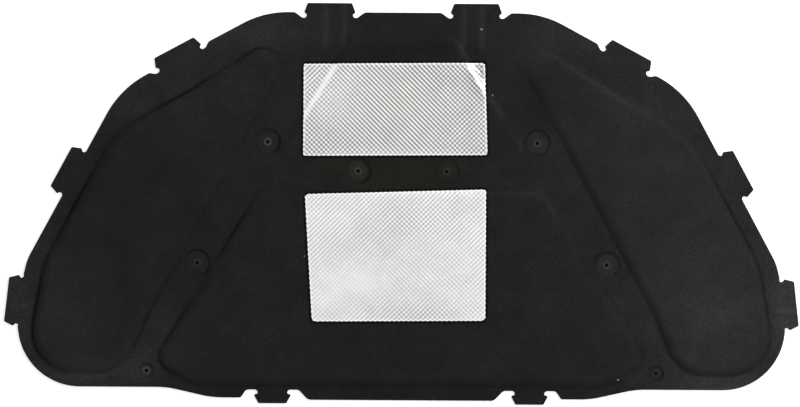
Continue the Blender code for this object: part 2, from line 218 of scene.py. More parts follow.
# The foils' cut edges: depth of the waves that the embossing leaves, how far in they reach, and the plain margin
FOIL_NOTCH = 0.0009
FOIL_NOTCH_REACH = 0.004
FOIL_MARGIN = 0.0006
FOIL_MARGIN_FADE = 0.0034

# How far from the foils the painted shadow line is worked out
FOIL_SHADOW_REACH = 0.007

# Fineness of the meshes: greatest distance of an arc from its circle, sides of a clip hole, radii of the rings of
# points round it, how far past a seat its rings reach, and the spacing of points along the edge, the shoulders, the
# foils' edges and the rings round seats, and over the ribs, with how far they reach past a rib
EDGE_TOLERANCE = 0.00005
FIELD_TOLERANCE = 0.00003
FOIL_TOLERANCE = 0.0001
LEAST_STRAIGHT = 0.0001
HOLE_SIDES = 28
HOLE_RINGS = (0.0036, 0.0045, 0.0056, 0.0064, 0.0069, 0.0074, 0.0085)
SEAT_REACH = 0.0095
EDGE_SPACING = 0.0030
SHOULDER_SPACING = 0.0028
SHOULDER_RINGS = 13
LIP_SPACING = 0.0022
RING_SPACING = 0.0017
FINE_SPACING = 0.0012
FINE_REACH = 0.008
# Offsets of the rings of points along a foil's edge, and the least room between two sets of points
LIP_OFFSETS = (-0.0008, 0.0004, 0.0013, 0.0021, 0.0029, 0.0040)
ROOM = 0.0008
# Roughness of the die cut, and the small bevel where it meets the back: inset and height
DIE_ROUGHNESS = 0.00008
BACK_BEVEL = (0.0004, 0.0005)

# Studio: half the floor's side, its depth below the pad, the discs of shade on it, the camera's offset from the middle
# of the pad and its turn in degrees, which match the photo's framing
FLOOR_HALF = 6
FLOOR_Z = -0.0004
SHADE_Z = -0.0002
SHADE_RADIUS = 0.006
SHADE_SIDES = 16
CAMERA_OFFSET = (-0.0033, 0.0003, 0.008)
CAMERA_TURN = 0.33668
SENSOR_WIDTH = 36.0


class HoodPadFelt(bpy.types.PropertyGroup):
    """Sizes and colours of the felt."""
    rim_thickness: FloatProperty(
        name="Rim Thickness", description="Thickness of the pressed rim and channels", default=0.006, unit="LENGTH")
    wing_rise: FloatProperty(
        name="Wing Rise", description="Height of the two wings above the rim", default=0.010, unit="LENGTH")
    middle_rise: FloatProperty(
        name="Middle Rise", description="Height of the two middle fields", default=0.007, unit="LENGTH")
    shoulder_width: FloatProperty(
        name="Shoulder Width", description="Width of the slope round each field", default=0.014, unit="LENGTH")
    foot_offset: FloatProperty(
        name="Foot Offset", description="How far the slopes reach out of the outlines", default=0.0025, unit="LENGTH")
    seat_floor: FloatProperty(
        name="Seat Floor", description="Thickness left under a clip seat", default=0.0032, unit="LENGTH")
    rib_rise: FloatProperty(
        name="Rib Rise", description="Height of the ribs in the tabs", default=0.0014, unit="LENGTH")
    edge_round: FloatProperty(
        name="Edge Round", description="Softening of the die-cut edge", default=0.0009, unit="LENGTH")
    crease_round: FloatProperty(
        name="Crease Round", description="Softening of the creases between surfaces", default=0.0012, unit="LENGTH")
    unevenness: FloatProperty(
        name="Unevenness", description="Depth of the slow waves that pressing leaves", default=0.00022, unit="LENGTH")
    spacing: FloatProperty(
        name="Point Spacing", description="Spacing of the mesh on level felt", default=0.0040, unit="LENGTH")
    pile_color: FloatVectorProperty(
        name="Pile", description="The felt's black fibres", subtype="COLOR_GAMMA", default=(0.107, 0.107, 0.107))
    scorched_color: FloatVectorProperty(
        name="Scorched Pile", description="Fibres that the press has heated most", subtype="COLOR_GAMMA",
        default=(0.108, 0.108, 0.098))
    rubbed_color: FloatVectorProperty(
        name="Rubbed Felt", description="Felt rubbed round the clip holes", subtype="COLOR_GAMMA",
        default=(0.34, 0.34, 0.33))


class HoodPadFoil(bpy.types.PropertyGroup):
    """Sizes and colours of the heat foils."""
    gap: FloatProperty(name="Gap", description="Room left for the glue", default=0.0003, unit="LENGTH")
    thickness: FloatProperty(name="Thickness", description="Foil thickness", default=0.0004, unit="LENGTH")
    emboss_pitch: FloatProperty(
        name="Emboss Pitch", description="Spacing of the embossed lines, along the pad", default=0.00763,
        unit="LENGTH")
    emboss_depth: FloatProperty(
        name="Emboss Depth", description="Depth of the embossed lines", default=0.00042, unit="LENGTH")
    front_spacing: FloatProperty(
        name="Front Point Spacing", description="Mesh spacing of the front foil", default=0.00095, unit="LENGTH")
    rear_spacing: FloatProperty(
        name="Rear Point Spacing", description="Mesh spacing of the rear foil", default=0.00100, unit="LENGTH")
    # The ridge colour is the foil's own bright metal; the groove colour is painted shade in the embossed grooves
    ridge_color: FloatVectorProperty(
        name="Ridge", description="Polished tops of the embossing", subtype="COLOR_GAMMA", default=(0.98, 0.98, 0.98))
    groove_shade_color: FloatVectorProperty(
        name="Groove", description="Duller metal in the grooves", subtype="COLOR_GAMMA", default=(0.37, 0.37, 0.365))


class HoodPadStudio(bpy.types.PropertyGroup):
    """Light, floor and camera."""
    camera_height: FloatProperty(name="Camera Height", description="Above the felt", default=5.0, unit="LENGTH")
    view_width: FloatProperty(name="View Width", description="Width the picture spans", default=1.280, unit="LENGTH")
    key_power: FloatProperty(name="Key Power", description="Softbox over the right wing", default=27.0, unit="POWER")
    glint_power: FloatProperty(name="Glint Power", description="Softbox at the right front", default=30.0, unit="POWER")
    top_power: FloatProperty(name="Top Power", description="Softbox high overhead", default=66.0, unit="POWER")
    ambient: FloatProperty(name="Ambient", description="Strength of the room's light", default=0.34)
    floor_color: FloatVectorProperty(
        name="Floor", description="Pale studio floor", subtype="COLOR_GAMMA", default=(0.80, 0.80, 0.80))


def linear(color):
    """sRGB hex text or a gamma-coded triple, turned to linear RGBA."""
    if isinstance(color, str):
        color = [int(color[i:i + 2], 16) / 255 for i in (1, 3, 5)]
    c = np.array(color, float)
    return (*np.where(c <= 0.04045, c / 12.92, ((c + 0.055) / 1.055) ** 2.4), 1.0)


def left_of(direction):
    """The direction turned a quarter to the left, which is outward on a clockwise outline."""
    return np.stack((-direction[..., 1], direction[..., 0]), -1)


def tab_corners(tab, shape, start, end):
    """Corners of a tab: along the edge u and outward v from its foot, mirrored about its own middle."""
    along, depth, notch, ramp, square = tab
    ahead = (end - start) / np.linalg.norm(end - start)
    foot = start + ahead * along
    if square:
        ahead = np.array((np.sign(ahead[0]), 0.0))
    half = [(w, v - depth, r) for w, v, r in shape]
    if notch:
        half.insert(0, (notch, -depth, NOTCH_RADIUS))
    if ramp:
        half.insert(0, (ramp, 0.0, NOTCH_RADIUS))
    both = [(-u, v, r) for u, v, r in half] + half[::-1]
    return [(*(foot + ahead * u + left_of(ahead) * v), r) for u, v, r in both]


def pad_corners():
    """Right half of the pad's edge with its tabs put in."""
    corners = []
    for i, corner in enumerate(PAD_EDGE):
        corners.append(corner)
        if i in TABS:
            shape = REAR_TAB if i == 9 else WIDE_TAB
            corners += tab_corners(TABS[i], shape, np.array(corner[:2]), np.array(PAD_EDGE[i + 1][:2]))
    return corners[1:-1]


def both_halves(corners):
    """Right-half corners followed by their mirror images, still clockwise."""
    return list(corners) + [(-x, y, r) for x, y, r in reversed(corners)]


def rounded(corners, tolerance):
    """A closed outline whose corners are arcs: radius = tangent / tan(half the turn), centre one radius inward of
    where the arc starts. Two tangents too long for the side between them share it in proportion."""
    corner = np.array([c[:2] for c in corners])
    side = np.roll(corner, -1, 0) - corner
    length = np.linalg.norm(side, axis=1)
    ahead = side / length[:, None]
    before = np.roll(ahead, 1, 0)
    turn = np.arctan2(before[:, 0] * ahead[:, 1] - before[:, 1] * ahead[:, 0], (before * ahead).sum(1))
    half_tan = np.tan(np.abs(turn) / 2)
    tangent = np.array([c[2] for c in corners]) * half_tan
    share = (length - LEAST_STRAIGHT) / (tangent + np.roll(tangent, -1))
    tangent = tangent * np.minimum(1.0, np.minimum(share, np.roll(share, 1)))
    radius = tangent / half_tan
    inward = left_of(before) * np.sign(turn)[:, None]
    centre = corner - before * tangent[:, None] + inward * radius[:, None]
    arcs = []
    for i in range(len(corners)):
        step = 2 * np.arccos(max(0.7, 1 - tolerance / radius[i]))
        angle = turn[i] * np.linspace(0, 1, max(2, int(np.ceil(abs(turn[i]) / step)) + 1))
        spoke = -inward[i] * radius[i]
        arcs.append(centre[i] + np.stack((
            spoke[0] * np.cos(angle) - spoke[1] * np.sin(angle),
            spoke[0] * np.sin(angle) + spoke[1] * np.cos(angle)), -1))
    return np.concatenate(arcs)


def refined(loop, spacing):
    """Splits each side of an outline into equal parts no longer than the spacing."""
    after = np.roll(loop, -1, 0)
    parts = np.maximum(1, np.ceil(np.linalg.norm(after - loop, axis=1) / spacing)).astype(int)
    side = np.repeat(np.arange(len(loop)), parts)
    share = (np.arange(parts.sum()) - np.repeat(np.cumsum(parts) - parts, parts)) / parts[side]
    return loop[side] + (after[side] - loop[side]) * share[:, None]


def outward(loop):
    """Outward unit normals at an outline's points: the mean of the normals of the two sides that meet there."""
    side = np.roll(loop, -1, 0) - loop
    normal = left_of(side / np.linalg.norm(side, axis=1)[:, None])
    both = normal + np.roll(normal, 1, 0)
    return both / np.linalg.norm(both, axis=1)[:, None]


def depth_inside(points, loop):
    """Distance to the nearest side of an outline, positive inside, where a ray to the left crosses an odd number of
    sides."""
    after = np.roll(loop, -1, 0)
    side = after - loop
    square = (side ** 2).sum(1)
    rise = np.where(side[:, 1] == 0, 1.0, side[:, 1])
    depth = np.empty(len(points))
    for part in np.array_split(np.arange(len(points)), max(1, len(points) * len(loop) // 900_000)):
        away = points[part][:, None] - loop
        share = np.clip((away * side).sum(2) / square, 0, 1)
        distance = np.sqrt(((away - share[..., None] * side) ** 2).sum(2).min(1))
        y = points[part, 1][:, None]
        crossed = (loop[:, 1] > y) != (after[:, 1] > y)
        crossed &= loop[:, 0] + (y - loop[:, 1]) / rise * side[:, 0] < points[part, 0][:, None]
        depth[part] = np.where(crossed.sum(1) % 2 == 1, distance, -distance)
    return depth


def depth_in_rib(points, rib):
    """Distance inside a round-ended bar: its half width less the distance to its middle line."""
    start, end = np.array(rib[0]), np.array(rib[1])
    share = np.clip(((points - start) @ (end - start)) / ((end - start) ** 2).sum(), 0, 1)
    return RIB_HALF_WIDTH - np.linalg.norm(points - start - share[:, None] * (end - start), axis=1)


def waves(points, length, seed):
    """Smooth unevenness between -1 and 1: the mean of seven sine waves of about that length in all directions."""
    chance = np.random.default_rng(seed)
    angle = chance.uniform(0, np.pi, 7)
    number = 2 * np.pi / (length * chance.uniform(0.7, 1.6, 7))
    phase = chance.uniform(0, 2 * np.pi, 7)
    along = points @ np.stack((np.cos(angle), np.sin(angle))) * number + phase
    return np.sin(along).mean(1) * 1.5


def ramp(share):
    """0 up to a share of 0, 1 from a share of 1, and a half cosine wave between."""
    return 0.5 - 0.5 * np.cos(np.pi * np.clip(share, 0, 1))


def bell(distance, width):
    """exp(-(distance / width)^2): 1 at no distance, falling off on both sides."""
    return np.exp(-(distance / width) ** 2)


def patch(points, x, y, wide, long):
    """A bell-shaped patch: exp(-(dx / half width)^2 - (dy / half length)^2)."""
    return np.exp(-((points[:, 0] - x) / wide) ** 2 - ((points[:, 1] - y) / long) ** 2)


def patches(points, rows):
    """The patches of a table, each times its strength, added up."""
    return sum(strength * patch(points, x, y, wide, long) for x, y, wide, long, strength in rows)


def in_box(points, corners, reach):
    """Whether each point lies in the box round the corners, grown by a reach."""
    return ((points > corners.min(0) - reach) & (points < corners.max(0) + reach)).all(1)


def from_seat(points, seat):
    """Distance from the middle of a clip seat."""
    return np.hypot(points[:, 0] - seat[0], points[:, 1] - seat[1])


def higher(a, b, blend):
    """Smooth maximum: the two surfaces meet in a fillet where they are within the blend's height."""
    h = np.clip(0.5 + 0.5 * (a - b) / blend, 0, 1)
    return b + (a - b) * h + blend * h * (1 - h)


class FeltForm:
    """The moulded side of the felt as a height over the plane."""

    def __init__(self, felt):
        self.felt = felt
        self.edge = rounded(both_halves(pad_corners()), EDGE_TOLERANCE)
        wing = rounded(WING_FIELD, FIELD_TOLERANCE)
        self.fields = [
            wing,
            wing[::-1] * (-1, 1),
            rounded(both_halves(FRONT_FIELD), FIELD_TOLERANCE),
            rounded(both_halves(REAR_FIELD), FIELD_TOLERANCE),
        ]
        self.ribs = [rib for a, b in RIBS for rib in ((a, b), ((-a[0], a[1]), (-b[0], b[1])))]
        self.foils = [rounded(corners, FOIL_TOLERANCE) for corners in (FRONT_FOIL, REAR_FOIL)]

    def depths(self, points):
        """Distance inside each field; points beyond its box by more than a shoulder stay at minus one."""
        result = np.full((len(self.fields), len(points)), -1.0)
        reach = self.felt.shoulder_width * 2
        for row, loop in zip(result, self.fields):
            near = in_box(points, loop, reach)
            row[near] = depth_inside(points[near], loop)
        return result

    def rises(self, points):
        """Rise of each field, thinned by cosine ramps: the wings to half at their front tips, the front field to a
        quarter at its rear edge and the rear field to under a half at its front edge."""
        y = points[:, 1]
        wing = self.felt.wing_rise * (1 - 0.50 * ramp((y - 0.110) / 0.120))
        front = self.felt.middle_rise * (0.25 + 0.75 * ramp((y - 0.060) / 0.100))
        rear = self.felt.middle_rise * (0.40 + 0.60 * ramp((0.010 - y) / 0.080))
        return np.stack((wing, wing, front, rear))

    def draped(self, points, depths, blend):
        """Rim, plus for each field its rise * sin(90 degrees * share of its shoulder climbed)."""
        climbed = np.clip((self.felt.foot_offset + depths) / self.felt.shoulder_width, -0.3, 1)
        z = higher((self.rises(points) * np.sin(climbed * np.pi / 2)).max(0), 0.0, blend) + self.felt.rim_thickness
        return z + self.felt.unevenness * (waves(points, 0.110, 3) + 0.4 * waves(points, 0.030, 4))

    def height(self, points, depths=None):
        """The draped height plus the ribs, which climb as the fields do, less the dishes of the clip seats, whose walls
        rise straight from a flat floor with a low collar round the hole."""
        felt = self.felt
        depths = self.depths(points) if depths is None else depths
        z = self.draped(points, depths, felt.crease_round)
        lift = np.zeros(len(points))
        for rib in self.ribs:
            climbed = np.clip(0.5 + depth_in_rib(points, rib) / RIB_SHOULDER, -0.3, 1)
            lift = np.maximum(lift, higher(felt.rib_rise * np.sin(climbed * np.pi / 2), 0.0, felt.crease_round / 3))
        z = np.maximum(z, felt.rim_thickness + lift)
        wall = (felt.rim_thickness - felt.seat_floor) / SEAT_DRAFT
        for seat in CLIP_SEATS:
            away = from_seat(points, seat)
            dish = felt.seat_floor + higher((away - seat[2] + SEAT_DRAFT) * wall, 0.0, felt.crease_round * 0.7)
            dish += COLLAR_RISE * ramp((COLLAR_RADIUS + COLLAR_RISE - away) / COLLAR_RISE)
            z = -higher(-z, -dish, felt.crease_round * 0.7)
        return z

    def foil_shadow(self, points):
        """1 on a line a little outside the foils, painted shadow of their edges on the felt, falling off as a
        bell."""
        result = np.zeros(len(points))
        for loop in self.foils:
            near = in_box(points, loop, FOIL_SHADOW_REACH)
            away = depth_inside(points[near], loop) + FOIL_SHADOW_OUTSIDE
            result[near] = np.maximum(result[near], bell(away, FOIL_SHADOW_WIDTH))
        return result

    def crease_shade(self, points, depths):
        """How dark the painted shade is: bells at the feet of shoulders and seat walls, where shade falls in the
        creases, times a level plus patches, and the painted shadow line round the foils."""
        foot = bell(depths + self.felt.foot_offset, FOOT_SHADE_WIDTH).max(0)
        foot *= 0.06 + patches(points, FOOT_SHADE)
        walls = np.zeros(len(points))
        for seat in CLIP_SEATS:
            away = from_seat(points, seat)
            walls = np.maximum(walls, bell(away - seat[2] + SEAT_DRAFT * 0.8, SEAT_SHADE_WIDTH))
        walls *= 0.12 + patches(points, SEAT_WALL_SHADE)
        return np.clip(foot + walls + 1.25 * self.foil_shadow(points), 0, DARKEST_SHADE)

    def pile_and_light(self, points, depths):
        """How much lighter the felt is painted: the patches, partly looser pile and partly painted light, plus painted
        highlight on the tops of the ribs and on the lit slopes as a bell across the shoulder, and the dishes of the
        clip seats."""
        middle = self.felt.shoulder_width * 0.35 - self.felt.foot_offset
        slope = bell(depths - middle, 0.0050).max(0)
        rib = np.max([depth_in_rib(points, rib) for rib in self.ribs], 0)
        total = patches(points, PILE_AND_LIGHT) + slope * patches(points, SLOPE_LIGHT) + 0.40 * ramp(1 + rib / 0.004)
        for seat in CLIP_SEATS:
            total += seat[5] * ramp((seat[2] - SEAT_DRAFT - from_seat(points, seat)) / 0.007)
        return total

    def rubbed(self, points):
        """Each seat's strength on the worn felt round its clip hole, fading out over half its reach."""
        result = np.zeros(len(points))
        for seat in CLIP_SEATS:
            strength, reach = seat[3:5]
            result = np.maximum(result, strength * ramp((reach * 1.25 - from_seat(points, seat)) / (reach * 0.5)))
        return result


def triangulated(points, loops):
    """Delaunay triangles between the points, as rows of indices that turn counter-clockwise. Loops of indices are
    kept as sides."""
    sides = [np.stack((loop, np.roll(loop, -1)), 1) for loop in loops]
    made = delaunay_2d_cdt([Vector(p) for p in points.tolist()], np.concatenate(sides).tolist(), [], 0, 1e-8, True)
    if len(made[0]) != len(points):
        raise RuntimeError("two points of the sheet coincide")
    face = np.array(made[2])
    a, b, c = (points[face[:, i]] for i in range(3))
    area = (b[:, 0] - a[:, 0]) * (c[:, 1] - a[:, 1]) - (b[:, 1] - a[:, 1]) * (c[:, 0] - a[:, 0])
    face[area < 0] = face[area < 0][:, ::-1]
    return face


def side_keys(sides, count):
    """One number for each side between two of count points, whichever way round it is given."""
    low_high = np.sort(sides, axis=-1)
    return low_high[..., 0] * count + low_high[..., 1]


def without_gaps(face, points, loop, holes):
    """Keeps the triangles of the sheet. One is outside it if its corners are all on one hole's loop, or all on the
    outline, which is the first loop of points, with its middle outside. Slivers along a straight side, which are
    too thin for that test, go when one of their sides is neither shared nor part of a loop."""
    middle = points[face].mean(1)
    keep = np.ones(len(face), bool)
    rim = (face < len(loop)).all(1)
    keep[rim] = depth_inside(middle[rim], loop) > -1e-7
    for hole in holes:
        keep &= ~((face >= hole[0]) & (face <= hole[-1])).all(1)
    face = face[keep]
    ends = [np.stack((line, np.roll(line, -1)), 1) for line in (np.arange(len(loop)), *holes)]
    loop_keys = side_keys(np.concatenate(ends), len(points))
    while True:
        keys = side_keys(face[:, ((0, 1), (1, 2), (2, 0))], len(points))
        _, where, uses = np.unique(keys.ravel(), return_inverse=True, return_counts=True)
        lone = (uses[where.ravel()] == 1).reshape(keys.shape) & ~np.isin(keys, loop_keys)
        if not lone.any():
            return face
        face = face[~lone.any(1)]


def band(upper, lower):
    """Quads between two equal loops of indices. They face left of the walk."""
    return np.stack((upper, np.roll(upper, -1), np.roll(lower, -1), lower), 1)


def circle(sides, radius):
    """Equally spaced points round the origin, counter-clockwise."""
    angle = np.arange(sides) / sides * 2 * np.pi
    return np.stack((np.cos(angle), np.sin(angle)), 1) * radius


def add_piece(name, points, faces, material, nodes=(), flat=None, attributes=None):
    """Puts a piece's mesh in the scene, moved from the pad's middle to the frame's."""
    mesh = bpy.data.meshes.new(name)
    shift = np.array((0.0, MIDDLE_SHIFT, 0.0))
    mesh.from_pydata((points + shift).tolist(), [], [row for part in faces for row in part.tolist()])
    smooth = np.ones(len(mesh.polygons), bool)
    if flat is not None:
        smooth[flat] = False
    mesh.polygons.foreach_set("use_smooth", smooth)
    for key, values in (attributes or {}).items():
        mesh.attributes.new(key, "FLOAT", "POINT").data.foreach_set("value", values.astype(np.float32))
    mesh.materials.append(material)
    mesh.validate()
    obj = bpy.data.objects.new(name, mesh)
    bpy.context.scene.collection.objects.link(obj)
    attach(obj, "root")
    if nodes:
        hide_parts(*nodes)
    return obj


def felt_points(form):
    """Plan of the moulded side: rings along every shoulder, rings round every seat, a fine grid over the ribs and a
    hexagonal grid elsewhere, each cleared of the ones before it."""
    felt = form.felt
    half = felt.shoulder_width / 2 + 0.001
    slope = felt.shoulder_width / 2 - felt.foot_offset
    seats = np.array([s[:2] for s in CLIP_SEATS])
    seat_reach = np.array([s[2] for s in CLIP_SEATS]) + SEAT_REACH

    def off_slopes(p, room):
        return (np.abs(form.depths(p) - slope) > half + room).all(0)

    def off_seats(p, room):
        return (np.linalg.norm(p[:, None] - seats, axis=2) > seat_reach + room).all(1)

    def rib_depth(p):
        return np.max([depth_in_rib(p, rib) for rib in form.ribs], 0)

    rings = []
    for x, y, radius, *_ in CLIP_SEATS:
        floor = np.arange(0.0105, radius - 0.0045, 0.0022)
        wall = np.arange(radius - 0.004, radius + SEAT_REACH, 0.0012)
        for r in (*HOLE_RINGS, *floor, *wall):
            rings.append(np.array((x, y)) + circle(max(HOLE_SIDES, int(2 * np.pi * r / RING_SPACING)), r))
    rings = np.concatenate(rings)
    shoulders = []
    for loop in form.fields:
        line = refined(loop, SHOULDER_SPACING)
        shoulders += [line + outward(line) * (out - slope) for out in np.linspace(half, -half, SHOULDER_RINGS)]
    shoulders = np.concatenate(shoulders)
    shoulders = shoulders[off_seats(shoulders, ROOM)]
    lips = []
    for loop in form.foils:
        line = refined(loop, LIP_SPACING)
        lips += [line + outward(line) * out for out in LIP_OFFSETS]
    lips = np.concatenate(lips)
    lips = lips[off_seats(lips, ROOM) & off_slopes(lips, ROOM)]
    fine = np.stack(np.meshgrid(
        np.arange(-0.632, 0.632, FINE_SPACING), np.arange(-0.19, 0.312, FINE_SPACING)), -1).reshape(-1, 2)
    boxed = np.zeros(len(fine), bool)
    for rib in form.ribs:
        boxed |= in_box(fine, np.array(rib), FINE_REACH)
    fine = fine[boxed]
    fine = fine[rib_depth(fine) > -0.0035]
    fine = fine[off_slopes(fine, 0.001)]
    grid = np.stack(np.meshgrid(
        np.arange(-0.64, 0.64, felt.spacing), np.arange(-0.33, 0.33, felt.spacing * 0.866)), -1)
    grid[::2, :, 0] += felt.spacing / 2
    grid = grid.reshape(-1, 2)
    grid = grid[off_seats(grid, 0.0012)]
    grid = grid[np.min([np.abs(depth_inside(grid, loop) + 0.0016) for loop in form.foils], 0) > 0.0038]
    grid = grid[rib_depth(grid) < -0.0045]
    grid = grid[off_slopes(grid, 0.0014)]
    every = np.concatenate((rings, shoulders, lips, fine, grid))
    return every[depth_inside(every, form.edge) > felt.edge_round + 0.0013]


def build_felt(felt, material):
    """Top sheet over the felt form, rounded die-cut edge, clip holes and flat back, closed all round."""
    form = FeltForm(felt)
    line = refined(form.edge, EDGE_SPACING)
    normal = outward(line)
    count = len(line)
    rough = DIE_ROUGHNESS * waves(line, 0.007, 8)
    holes = np.concatenate([np.array(s[:2]) + circle(HOLE_SIDES, CLIP_HOLE_RADIUS) for s in CLIP_SEATS])
    plan = np.concatenate((line - normal * felt.edge_round, holes, felt_points(form)))
    top = np.column_stack((plan, form.height(plan)))
    ring_index = np.arange(count)
    hole_index = list(count + np.arange(len(holes)).reshape(-1, HOLE_SIDES))
    face = without_gaps(triangulated(plan, [ring_index, *hole_index]), plan, plan[:count], hole_index)
    rings = []
    for a in np.radians((30, 60, 90)):
        inset, drop = felt.edge_round * (1 - np.sin(a)), felt.edge_round * (1 - np.cos(a))
        rings.append(np.column_stack((line + normal * (rough - inset)[:, None], top[:count, 2] - drop)))
    rings.append(np.column_stack((line + normal * rough[:, None], np.full(count, BACK_BEVEL[1]))))
    rings.append(np.column_stack((line - normal * BACK_BEVEL[0], np.zeros(count))))
    low_holes = np.column_stack((holes, np.zeros(len(holes))))
    points = np.concatenate((top, *rings, low_holes))
    faces = [face]
    upper = ring_index
    for k in range(len(rings)):
        lower = len(top) + k * count + ring_index
        faces.append(band(upper, lower))
        upper = lower
    first = len(top) + len(rings) * count
    faces += [band(high, high - count + first) for high in hole_index]
    back_plan = np.concatenate((rings[-1][:, :2], holes))
    back = triangulated(back_plan, [ring_index, *hole_index])
    back = without_gaps(back, back_plan, back_plan[:count], hole_index)[:, ::-1]
    faces.append(np.where(back < count, upper[0] + back, first + back - count))
    first_back = sum(len(part) for part in faces[:-1])
    flat = np.arange(first_back, first_back + len(back))
    above = points[:, 2] > 0.002
    depths = form.depths(points[:, :2])
    # The attributes carry painted shade in the creases and painted light on slopes and patches, mixed with looser pile
    obj = add_piece("needled_felt_pad", points, faces, material, ("felt_pad",), flat, {
        "rubbed": form.rubbed(points[:, :2]) * above,
        "crease_shade": form.crease_shade(points[:, :2], depths) * above,
        "pile_and_light": form.pile_and_light(points[:, :2], depths),
        "scorched": np.clip(patches(points[:, :2], SCORCHED), 0, 1)})


def corner_inset(distance, radius):
    """How far a rounded corner draws a row in: radius less the half chord of the row's height in its circle."""
    below = np.clip(radius - distance, 0, radius)
    return radius - np.sqrt(radius ** 2 - below ** 2)


def near_edge(distance):
    """1 on a foil's cut edge, falling evenly to 0 where its waves end."""
    return np.clip(1 - distance / FOIL_NOTCH_REACH, 0, 1)


def foil_grid(corners, spacing, pitch):
    """Rows from front to rear between the sides of a four-cornered sheet, drawn in at its rounded corners and by a
    wave of the embossing's pitch along its cut edges."""
    (ax, ay, ar), (bx, by, br), (cx, cy, cr), (dx, dy, dr) = corners
    rows = int((ay - dy) / spacing) + 1
    columns = int((bx - ax) / spacing) + 1
    v = np.linspace(0, 1, rows)[:, None]
    u = np.linspace(0, 1, columns)[None]
    y = (ay + (by - ay) * u) * (1 - v) + (dy + (cy - dy) * u) * v
    from_front, from_rear = v * (ay - dy), (1 - v) * (ay - dy)
    left = ax + (dx - ax) * v + corner_inset(from_front, ar) + corner_inset(from_rear, dr)
    right = bx + (cx - bx) * v - corner_inset(from_front, br) - corner_inset(from_rear, cr)
    notch = FOIL_NOTCH * (0.5 + 0.5 * np.cos(2 * np.pi * y / pitch))
    x = left + (right - left) * u
    x = x + notch * (near_edge(x - left) - near_edge(right - x))
    notch = FOIL_NOTCH * (0.5 + 0.5 * np.cos(2 * np.pi * x / pitch))
    y = y - notch * (near_edge(from_front) - near_edge(from_rear))
    return np.stack((x, y), -1)


def line_strengths(points, lines):
    """Strength of the falling and the rising lines at each point: a level plus bell-shaped patches."""
    falling = np.full(len(points), lines[0])
    rising = np.full(len(points), lines[1])
    for x, y, wide, long, more_falling, more_rising in lines[2]:
        share = patch(points, x, y, wide, long)
        falling += more_falling * share
        rising += more_rising * share
    drift = 0.12 * waves(points, 0.055, 21)
    return np.clip(falling + drift, 0.03, 1), np.clip(rising - drift, 0.03, 1)


def build_foil(name, node, corners, spacing, lines, form, foil, material):
    """A foil laid over the felt: its top carries two crossed sets of cosine ridges, its underside none, and a rim joins
    them."""
    grid = foil_grid(corners, spacing, foil.emboss_pitch)
    rows, columns = grid.shape[:2]
    plan = grid.reshape(-1, 2)
    depth = form.depths(plan)
    felt_z = form.draped(plan, depth, form.felt.crease_round * 3.5)
    half = form.felt.shoulder_width / 2
    on_slope = np.clip(1.2 - np.abs(depth.max(0) + form.felt.foot_offset - half) / (half * 0.8), 0, 1)
    on_slope *= ramp((plan[:, 1] - 0.100) / 0.030)
    outside = np.clip(-depth[2:].max(0) / half - 1, 0, 1)
    falling, rising = line_strengths(plan, lines)
    falling = falling * (1 - 0.80 * on_slope) * (1 - 0.7 * outside)
    rising = np.clip(rising + 0.5 * outside, 0, 1) * (1 - 0.80 * on_slope)
    number = 2 * np.pi / foil.emboss_pitch
    fall_wave = 0.5 - 0.5 * np.cos(number * (plan[:, 0] + plan[:, 1]))
    rise_wave = 0.5 - 0.5 * np.cos(number * (plan[:, 0] - plan[:, 1]))
    # Painted shade in the embossed grooves, deeper in the patches
    groove_shade = falling * fall_wave ** 1.9 + rising * rise_wave ** 1.9 + patches(plan, FOIL_SHADE_PATCHES)
    margin = depth_inside(plan, rounded(corners, FOIL_TOLERANCE)) - FOIL_MARGIN
    groove_shade = np.clip(groove_shade, 0, 1) * ramp(margin / FOIL_MARGIN_FADE)
    ridge = foil.emboss_depth * (
        0.5 - 0.6 * (0.35 + 0.65 * falling) * fall_wave - 0.6 * (0.35 + 0.65 * rising) * rise_wave)
    top_z = felt_z + foil.gap + foil.thickness + ridge + 0.00025 * waves(plan, 0.045, 31)
    index = np.arange(rows * columns).reshape(rows, columns)
    rim = np.concatenate((index[0, :-1], index[:-1, -1], index[-1, :0:-1], index[:0:-1, 0]))
    inside = index[2:-2:2, 2:-2:2].ravel()
    under = np.concatenate((rim, inside))
    under_plan = plan[under]
    under_face = without_gaps(triangulated(under_plan, [np.arange(len(rim))]), under_plan, plan[rim], [])
    under_z = felt_z[under] + foil.gap * 0.6
    points = np.concatenate((np.column_stack((plan, top_z)), np.column_stack((under_plan, under_z))))
    quads = np.stack((index[:-1, :-1], index[1:, :-1], index[1:, 1:], index[:-1, 1:]), -1).reshape(-1, 4)
    low_rim = len(plan) + np.arange(len(rim))
    faces = [quads, band(rim, low_rim), under_face[:, ::-1] + len(plan)]
    groove_shade = np.concatenate((groove_shade, np.zeros(len(under))))
    return add_piece(name, points, faces, material, (node,), None, {"groove_shade": groove_shade})


